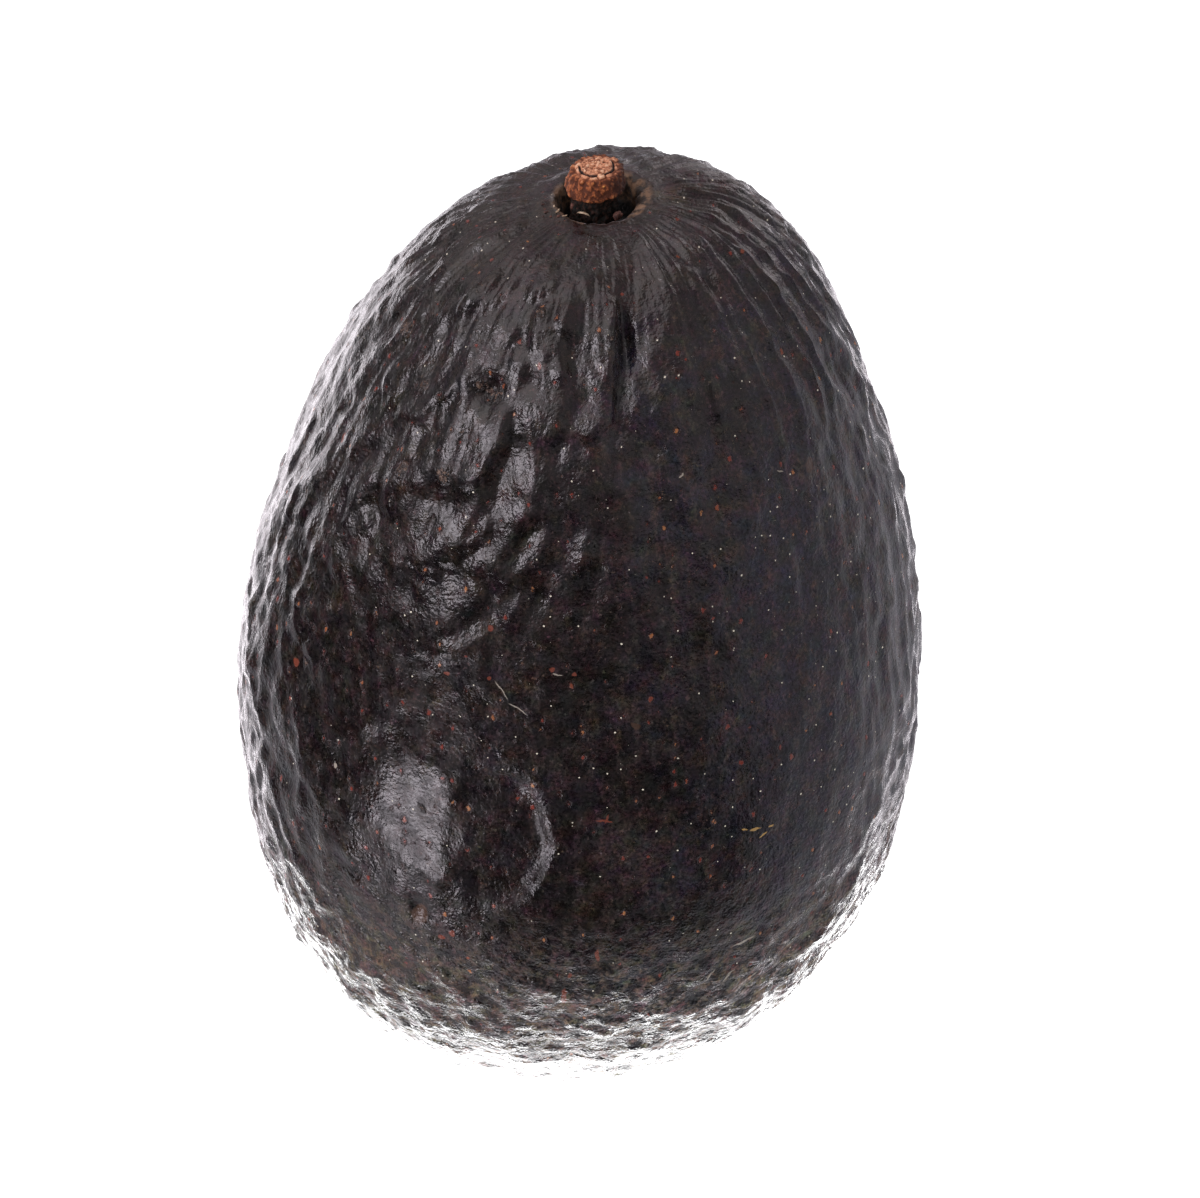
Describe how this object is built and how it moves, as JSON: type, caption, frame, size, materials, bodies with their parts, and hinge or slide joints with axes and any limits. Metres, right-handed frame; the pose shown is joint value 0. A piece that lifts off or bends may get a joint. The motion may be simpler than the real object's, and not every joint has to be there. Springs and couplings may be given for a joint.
{
  "type": "avocado",
  "caption": "Whole ripe avocado with dark pebbled skin and a dry woody stalk stub in the pit at its narrow end, standing on its blossom end.",
  "frame": {"origin": "centre of the small flat spot that the fruit rests on", "axes": "+Z along the fruit from blossom end to stalk end, +X towards the side that the stalk end leans to"},
  "size_m": [0.068, 0.068, 0.1027],
  "materials": {
    "skin": "near-black purple-brown pebbled rind with a dull waxy sheen and small rust-brown lenticels",
    "stem_wood": "dry, granular orange-brown wood, cracked on top"
  },
  "bodies": {
    "root": {"fruit": "skin", "stem_stub": "stem_wood"}
  },
  "joints": []
}
